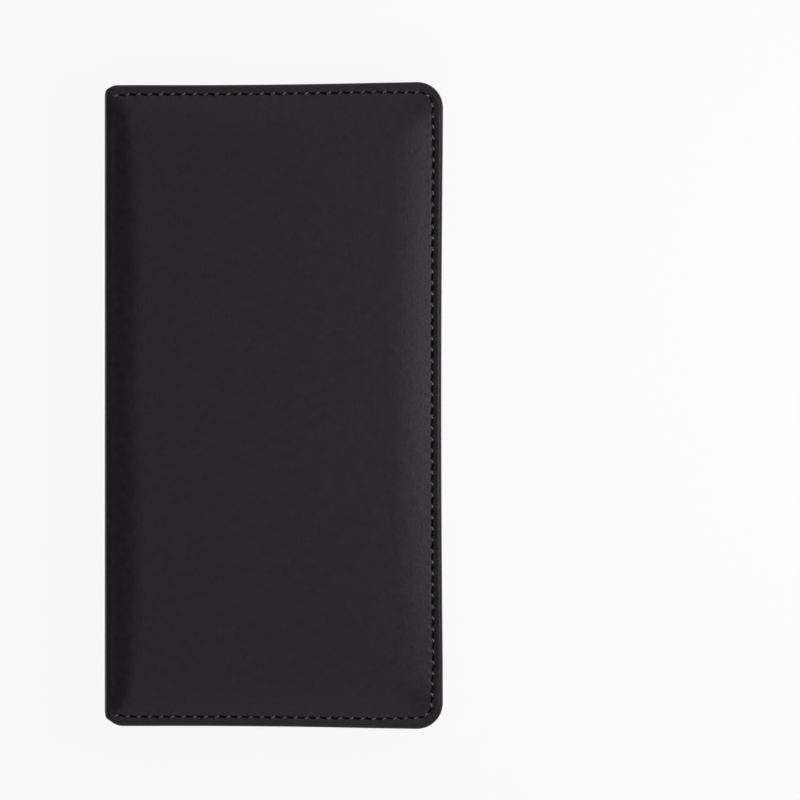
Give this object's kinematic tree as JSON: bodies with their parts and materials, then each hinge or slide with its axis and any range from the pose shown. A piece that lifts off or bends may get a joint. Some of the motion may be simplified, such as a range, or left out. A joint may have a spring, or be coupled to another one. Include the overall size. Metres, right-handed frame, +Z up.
{
  "type": "travel wallet",
  "caption": "Long padded travel wallet in black leatherette that opens like a book on a creased spine, with stitched edges, passport pocket, card slots and a window pocket inside.",
  "frame": {"origin": "under the middle of the closed wallet, on the flat of the back cover that it rests on", "axes": "+Z up out of the front cover, +X from the spine to the fore edge, +Y to the upper end as the front cover is read"},
  "size_m": [0.1199, 0.2286, 0.0204],
  "materials": {
    "leatherette": "smooth black leatherette, semi-matte, with a faint fine grain",
    "lining": "black woven polyester lining",
    "greyboard": "plain grey bookbinding board",
    "padding": "soft grey sponge padding",
    "clear_film": "clear glossy vinyl film",
    "thread": "black bonded sewing thread"
  },
  "bodies": {
    "back": {"back_cover_skin": "leatherette", "back_foam": "padding", "back_board": "greyboard", "back_lining": "lining", "ticket_pocket": "leatherette", "passport_pocket": "leatherette"},
    "spine": {"spine_skin": "leatherette", "spine_stiffener": "greyboard", "spine_lining": "lining"},
    "front": {"front_cover_skin": "leatherette", "front_foam": "padding", "front_board": "greyboard", "front_lining": "lining", "document_pocket": "leatherette", "card_slot_1": "leatherette", "card_slot_2": "leatherette", "card_slot_3": "leatherette", "card_slot_4": "leatherette", "id_window_frame": "leatherette", "id_window_film": "clear_film"}
  },
  "joints": [
    {"name": "spine_fold", "type": "hinge", "parent": "back", "child": "spine", "pos_m": [-0.0576, 0, 0.0031], "axis": [0, -1, 0], "range_deg": [0, 90]},
    {"name": "cover_fold", "type": "hinge", "parent": "spine", "child": "front", "pos_m": [-0.0576, 0, 0.0173], "axis": [0, -1, 0], "range_deg": [0, 90]}
  ],
  "couplings": [
    {"joint": "cover_fold", "follows": "spine_fold", "ratio": 1}
  ]
}
